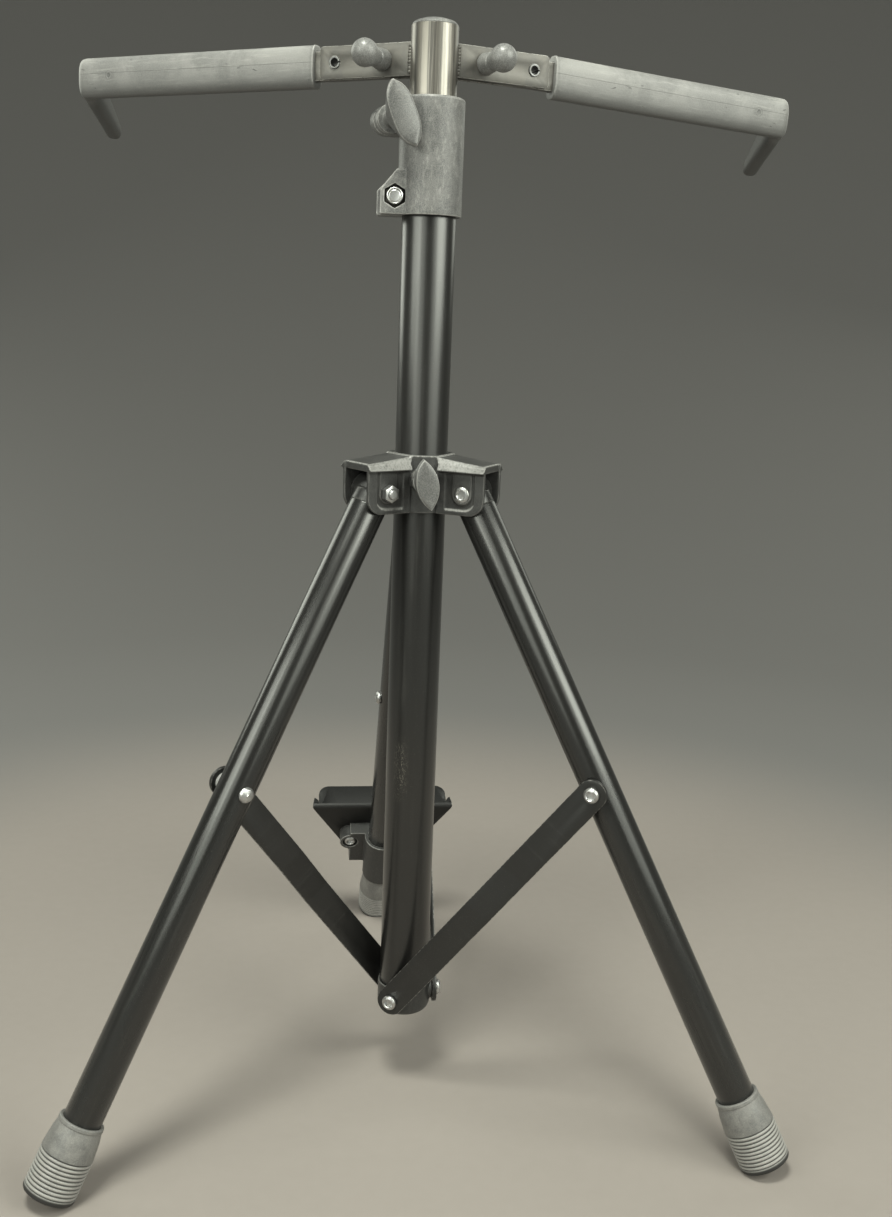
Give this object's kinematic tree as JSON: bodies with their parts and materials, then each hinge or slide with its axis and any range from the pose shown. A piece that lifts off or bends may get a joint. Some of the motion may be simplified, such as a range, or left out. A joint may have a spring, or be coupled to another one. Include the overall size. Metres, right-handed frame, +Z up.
{
  "type": "double bass stand",
  "caption": "Folding tripod floor stand for a double bass: telescoping pole with two folding hooked arms, a sliding leg hub with braced legs and a flanged lower rest on the rear leg.",
  "frame": {"origin": "centre of the stand's footprint box on the floor; the pole axis stands a little to the left and front of it", "axes": "+Z up along the pole, +Y towards the rear leg and the instrument, +X to the right seen from the front"},
  "size_m": [0.5144, 0.4328, 0.7299],
  "materials": {
    "black_tube": "satin black powder coat",
    "black_steel": "matte black powder coat",
    "bronze_black_steel": "satin dark bronze-black coat on flat steel",
    "zinc_steel": "bright zinc plate",
    "spring_steel": "oiled dark spring steel",
    "brass": "turned brass",
    "pale_nylon": "natural nylon",
    "foot_rubber": "dusty dark grey rubber",
    "grip_rubber": "worn satin dark grey rubber",
    "black_nylon": "fine-grained black moulded nylon"
  },
  "bodies": {
    "post": {"outer_tube": "black_tube", "height_collar": "black_nylon", "collar_bolt": "zinc_steel", "collar_nut": "zinc_steel", "height_nut": "zinc_steel", "base_cap": "black_nylon", "base_plug": "black_nylon", "base_bolts": "zinc_steel"},
    "mast_guide": {"guide_bush": "pale_nylon"},
    "mast": {"inner_tube": "black_tube", "top_cap": "black_nylon", "left_bracket": "bronze_black_steel", "right_bracket": "bronze_black_steel", "roll_pins": "spring_steel", "plunger_barrels": "black_steel"},
    "left_plunger": {"left_ball_knob": "black_nylon", "left_plunger": "zinc_steel"},
    "right_plunger": {"right_ball_knob": "black_nylon", "right_plunger": "zinc_steel"},
    "left_arm": {"left_arm_bar": "bronze_black_steel", "left_grip": "grip_rubber"},
    "right_arm": {"right_arm_bar": "bronze_black_steel", "right_grip": "grip_rubber"},
    "height_knob": {"height_knob": "black_nylon", "height_screw": "zinc_steel"},
    "hub": {"hub_body": "black_nylon", "leg_bolts": "zinc_steel", "leg_nuts": "zinc_steel", "hub_pad": "pale_nylon", "hub_insert": "brass"},
    "hub_knob": {"hub_knob": "black_nylon", "hub_screw": "zinc_steel"},
    "right_leg": {"right_leg_tube": "black_tube", "right_leg_knuckle": "black_nylon", "right_foot": "foot_rubber", "right_strut_nut": "zinc_steel"},
    "right_strut": {"right_strut": "black_steel", "right_strut_bolt": "zinc_steel", "right_strut_spacer": "pale_nylon"},
    "left_leg": {"left_leg_tube": "black_tube", "left_leg_knuckle": "black_nylon", "left_foot": "foot_rubber", "left_strut_nut": "zinc_steel"},
    "left_strut": {"left_strut": "black_steel", "left_strut_bolt": "zinc_steel", "left_strut_spacer": "pale_nylon"},
    "rear_leg": {"rear_leg_tube": "black_tube", "rear_leg_knuckle": "black_nylon", "rear_foot": "foot_rubber", "rear_strut_nut": "zinc_steel"},
    "rear_strut": {"rear_strut": "black_steel", "rear_strut_bolt": "zinc_steel", "rear_strut_spacer": "pale_nylon"},
    "rest": {"rest_clamp": "black_nylon", "rest_plate": "bronze_black_steel", "rest_bolts": "zinc_steel", "rest_nuts": "zinc_steel"}
  },
  "joints": [
    {"name": "height_slide", "type": "slide", "parent": "post", "child": "mast_guide", "axis": [0, 0, 1], "range_m": [-0.005, 0.29]},
    {"name": "head_swivel", "type": "hinge", "parent": "mast_guide", "child": "mast", "pos_m": [-0.01, -0.06615, 0.72543], "axis": [0, 0, 1], "continuous": true},
    {"name": "right_arm_fold", "type": "hinge", "parent": "mast", "child": "right_arm", "pos_m": [0.05542, -0.04484, 0.70623], "axis": [-0.3097, 0.9508, 0], "range_deg": [0, 87.75]},
    {"name": "left_arm_fold", "type": "hinge", "parent": "mast", "child": "left_arm", "pos_m": [-0.06862, -0.03014, 0.70623], "axis": [-0.5234, -0.8521, 0], "range_deg": [0, 90]},
    {"name": "right_plunger_pull", "type": "slide", "parent": "mast", "child": "right_plunger", "axis": [0.3097, -0.9508, 0], "range_m": [0, 0.007], "stiffness_N_per_m": 800, "springref_m": -0.006},
    {"name": "left_plunger_pull", "type": "slide", "parent": "mast", "child": "left_plunger", "axis": [-0.5234, -0.8521, 0], "range_m": [0, 0.007], "stiffness_N_per_m": 800, "springref_m": -0.006},
    {"name": "height_knob_turn", "type": "hinge", "parent": "post", "child": "height_knob", "pos_m": [-0.03534, -0.07198, 0.66913], "axis": [0.2243, -0.9745, 0], "range_deg": [0, 720]},
    {"name": "hub_slide", "type": "slide", "parent": "post", "child": "hub", "axis": [0, 0, 1], "range_m": [0, 0.0678]},
    {"name": "hub_knob_turn", "type": "hinge", "parent": "hub", "child": "hub_knob", "pos_m": [-0.01, -0.09615, 0.44292], "axis": [0, -1, 0], "range_deg": [0, 720]},
    {"name": "right_leg_fold", "type": "hinge", "parent": "hub", "child": "right_leg", "pos_m": [0.02161, -0.0844, 0.43522], "axis": [0.5, 0.866, 0], "range_deg": [0, 26.38]},
    {"name": "left_leg_fold", "type": "hinge", "parent": "hub", "child": "left_leg", "pos_m": [-0.04161, -0.0844, 0.43522], "axis": [0.5, -0.866, 0], "range_deg": [0, 26.38]},
    {"name": "rear_leg_fold", "type": "hinge", "parent": "hub", "child": "rear_leg", "pos_m": [-0.01, -0.02965, 0.43522], "axis": [-1, 0, 0], "range_deg": [0, 26.38]},
    {"name": "right_strut_fold", "type": "hinge", "parent": "post", "child": "right_strut", "pos_m": [-0.01, -0.06615, 0.06663], "axis": [-0.5, -0.866, 0], "range_deg": [0, 26.2]},
    {"name": "left_strut_fold", "type": "hinge", "parent": "post", "child": "left_strut", "pos_m": [-0.01, -0.06615, 0.06663], "axis": [-0.5, 0.866, 0], "range_deg": [0, 26.2]},
    {"name": "rear_strut_fold", "type": "hinge", "parent": "post", "child": "rear_strut", "pos_m": [-0.01, -0.06615, 0.06663], "axis": [1, 0, 0], "range_deg": [0, 26.2]},
    {"name": "rest_slide", "type": "slide", "parent": "rear_leg", "child": "rest", "axis": [0, -0.4752, 0.8799], "range_m": [0, 0.1]}
  ],
  "couplings": [
    {"joint": "right_leg_fold", "follows": "hub_slide", "rad_per_m": 6.7886},
    {"joint": "left_leg_fold", "follows": "hub_slide", "rad_per_m": 6.7886},
    {"joint": "rear_leg_fold", "follows": "hub_slide", "rad_per_m": 6.7886},
    {"joint": "right_strut_fold", "follows": "hub_slide", "rad_per_m": 6.7417},
    {"joint": "left_strut_fold", "follows": "hub_slide", "rad_per_m": 6.7417},
    {"joint": "rear_strut_fold", "follows": "hub_slide", "rad_per_m": 6.7417}
  ]
}
